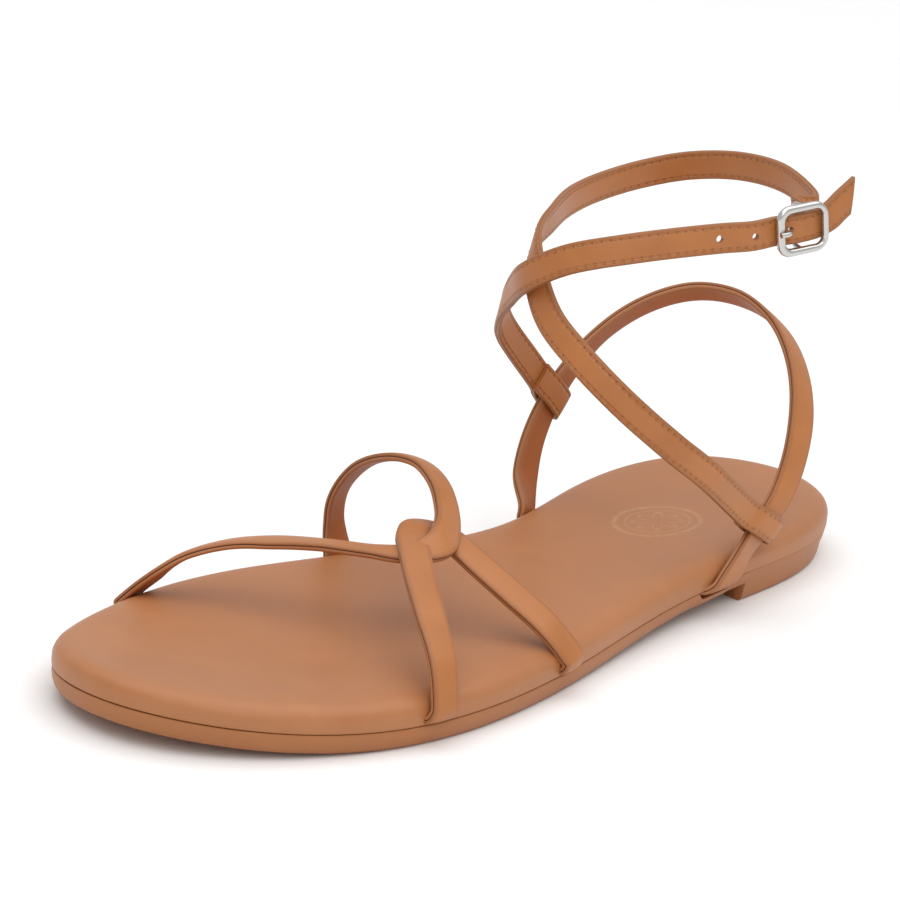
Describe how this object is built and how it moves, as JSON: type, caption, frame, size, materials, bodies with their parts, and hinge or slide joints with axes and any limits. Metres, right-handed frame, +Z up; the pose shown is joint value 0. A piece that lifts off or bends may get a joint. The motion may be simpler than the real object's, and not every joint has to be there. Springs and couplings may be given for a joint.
{
  "type": "strappy flat sandal",
  "caption": "Left flat ankle-wrap sandal: wrapped footbed on a low-heeled unit sole, interlaced toe straps, heel strap and two ankle straps fastened by a buckle.",
  "frame": {"origin": "on the floor under the middle of the heel", "axes": "+Z up, -Y towards the toe, +X towards the outer side of the left foot"},
  "size_m": [0.0914, 0.2501, 0.1058],
  "materials": {
    "leather": "smooth tan",
    "sole": "satin tan",
    "steel": "polished"
  },
  "bodies": {
    "root": {"outsole": "sole", "footbed": "leather", "toe_straps": "leather", "heel_strap": "leather", "ankle_strap_buckle_side": "leather", "ankle_strap_hole_side": "leather", "buckle_frame": "steel", "buckle_prong": "steel"}
  },
  "joints": []
}
